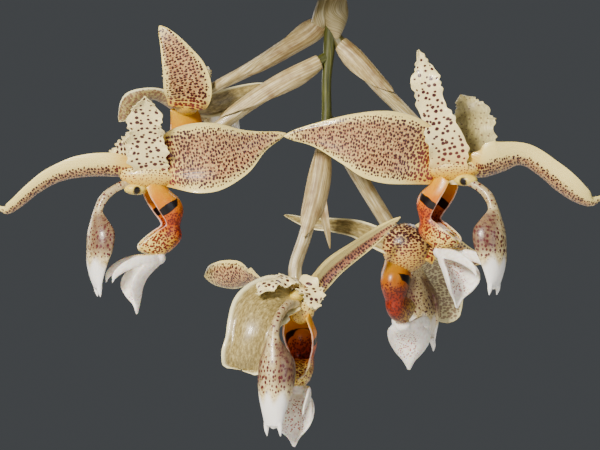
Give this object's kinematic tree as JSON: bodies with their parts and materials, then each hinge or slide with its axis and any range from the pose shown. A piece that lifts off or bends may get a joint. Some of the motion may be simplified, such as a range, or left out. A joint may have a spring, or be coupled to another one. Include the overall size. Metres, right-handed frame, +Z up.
{
  "type": "stanhopea oculata orchid in a hanging slatted basket",
  "caption": "Orchid in a hanging wooden slat basket, its pendent spray of spotted, waxy flowers dropping through the basket's floor.",
  "frame": {"origin": "the point at the top inside of the hook's crook, where it bears on what carries it", "axes": "+Z up; -Y is the side from which the spray is pictured; +X to the right seen from there"},
  "size_m": [0.4521, 0.3781, 0.6113],
  "materials": {
    "sepal": "satin, cream densely spotted red-brown",
    "petal": "satin, cream with sparse red-brown spots",
    "lip": "waxy orange, with dark eyes, and ivory tips",
    "column": "satin, cream with spots, and white at the tip",
    "stem": "satin, pale green to tan",
    "bract": "dry and papery",
    "leaf": "satin green, pleated",
    "medium": "moist bark and moss",
    "wood": "weathered, oiled hardwood",
    "wire": "galvanised"
  },
  "bodies": {
    "root": {"flower_stem": "stem", "left_flower_lateral_sepals": "sepal", "left_flower_column": "column", "left_flower_lip": "lip", "left_flower_dorsal_sepal": "sepal", "left_flower_petal_near": "petal", "left_flower_petal_far": "petal", "right_flower_lateral_sepals": "sepal", "right_flower_column": "column", "right_flower_lip": "lip", "right_flower_dorsal_sepal": "sepal", "right_flower_petal_near": "petal", "right_flower_petal_far": "petal", "front_flower_lateral_sepals": "sepal", "front_flower_column": "column", "front_flower_lip": "lip", "front_flower_dorsal_sepal": "sepal", "front_flower_petal_near": "petal", "front_flower_petal_far": "petal", "back_flower_lateral_sepals": "sepal", "back_flower_column": "column", "back_flower_lip": "lip", "back_flower_dorsal_sepal": "sepal", "back_flower_petal_near": "petal", "back_flower_petal_far": "petal", "upper_flower_lateral_sepals": "sepal", "upper_flower_column": "column", "upper_flower_lip": "lip", "upper_flower_dorsal_sepal": "sepal", "upper_flower_petal_near": "petal", "upper_flower_petal_far": "petal", "bract_upper": "bract", "bract_left": "bract", "bract_right": "bract", "bract_back": "bract", "bract_front": "bract", "growth_right": "leaf", "growth_left": "leaf", "growth_back": "leaf", "growth_front": "leaf", "growth_young": "leaf", "bark_and_moss": "medium", "rod_course_1_low": "wood", "rod_course_1_high": "wood", "rod_course_2_low": "wood", "rod_course_2_high": "wood", "rod_course_3_low": "wood", "rod_course_3_high": "wood", "rod_course_4_low": "wood", "rod_course_4_high": "wood", "floor_slat_1": "wood", "floor_slat_2": "wood", "floor_slat_3": "wood", "floor_slat_4": "wood", "wire_left_front": "wire", "wire_left_back": "wire", "wire_right_front": "wire", "wire_right_back": "wire", "hanger_hook": "wire"}
  },
  "joints": []
}
